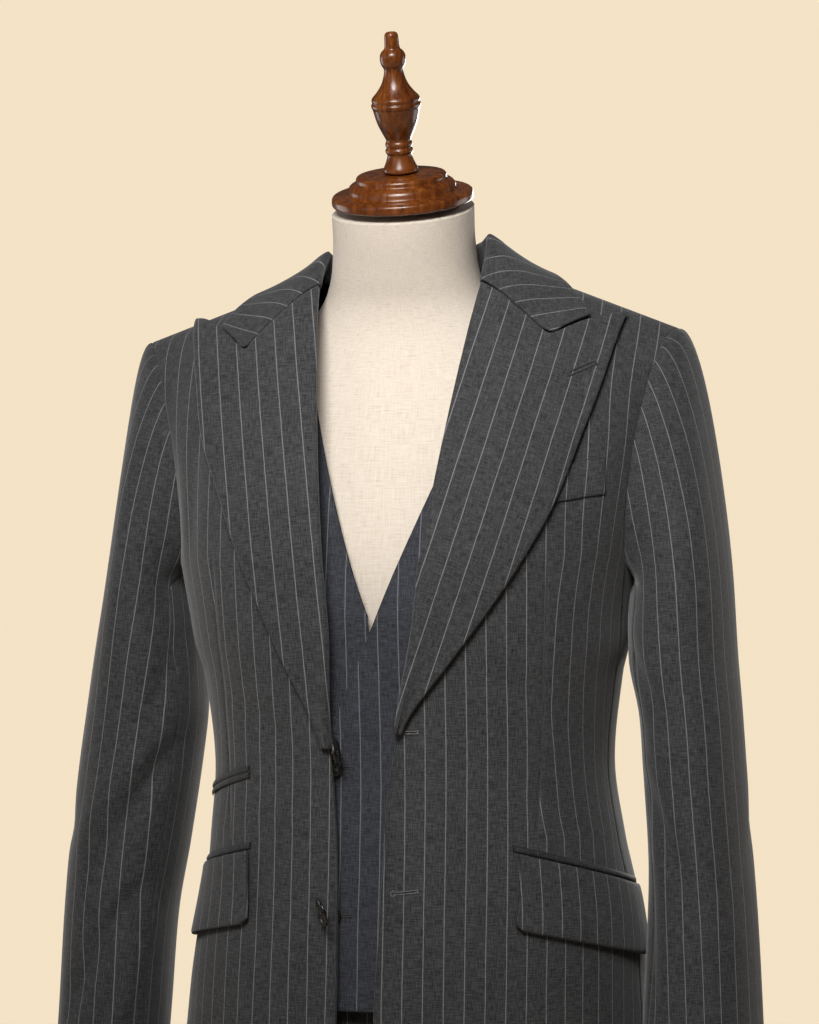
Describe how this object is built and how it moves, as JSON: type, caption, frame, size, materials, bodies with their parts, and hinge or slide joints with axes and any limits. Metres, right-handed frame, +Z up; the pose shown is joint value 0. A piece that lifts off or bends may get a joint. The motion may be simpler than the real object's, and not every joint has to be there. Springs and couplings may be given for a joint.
{
  "type": "three-piece suit on a tailor's bust",
  "caption": "Single-breasted pinstripe suit jacket with wide peak lapels, worn open over a matching waistcoat and trousers on a limbless linen bust with a turned wooden cap and stand.",
  "frame": {"origin": "centre of the stand's underside, on the floor", "axes": "+Z up, -Y is the way the figure faces, +X is the figure's left"},
  "size_m": [0.583, 0.4, 1.712],
  "materials": {
    "charcoal_pinstripe": "matt charcoal worsted with a fine light pinstripe",
    "waistcoat_cloth": "matt blue-grey worsted with a fine light pinstripe",
    "brown_horn": "polished dark brown horn-look button",
    "cream_linen": "matt cream linen stretched over a smooth bust",
    "red_brown_wood": "glossy red-brown lacquer"
  },
  "bodies": {
    "root": {"jacket_front_left": "charcoal_pinstripe", "jacket_front_right": "charcoal_pinstripe", "jacket_side_left": "charcoal_pinstripe", "jacket_side_right": "charcoal_pinstripe", "jacket_back_left": "charcoal_pinstripe", "jacket_back_right": "charcoal_pinstripe", "sleeve_top_left": "charcoal_pinstripe", "sleeve_top_right": "charcoal_pinstripe", "sleeve_under_left": "charcoal_pinstripe", "sleeve_under_right": "charcoal_pinstripe", "lapel_left": "charcoal_pinstripe", "lapel_right": "charcoal_pinstripe", "collar": "charcoal_pinstripe", "breast_welt": "charcoal_pinstripe", "hip_flap_left": "charcoal_pinstripe", "hip_flap_right": "charcoal_pinstripe", "hip_jet_left": "charcoal_pinstripe", "hip_jet_right": "charcoal_pinstripe", "ticket_jet_upper": "charcoal_pinstripe", "ticket_jet_lower": "charcoal_pinstripe", "trouser_front_left": "charcoal_pinstripe", "trouser_front_right": "charcoal_pinstripe", "trouser_back_left": "charcoal_pinstripe", "trouser_back_right": "charcoal_pinstripe", "trouser_waistband": "charcoal_pinstripe", "waistcoat_front_left": "waistcoat_cloth", "waistcoat_front_right": "waistcoat_cloth", "waistcoat_back": "waistcoat_cloth", "jacket_button_upper": "brown_horn", "jacket_button_lower": "brown_horn", "waistcoat_button_upper": "brown_horn", "waistcoat_button_lower": "brown_horn", "form_body": "cream_linen", "form_cap": "red_brown_wood", "form_finial": "red_brown_wood", "form_pole": "red_brown_wood", "form_base": "red_brown_wood"}
  },
  "joints": []
}
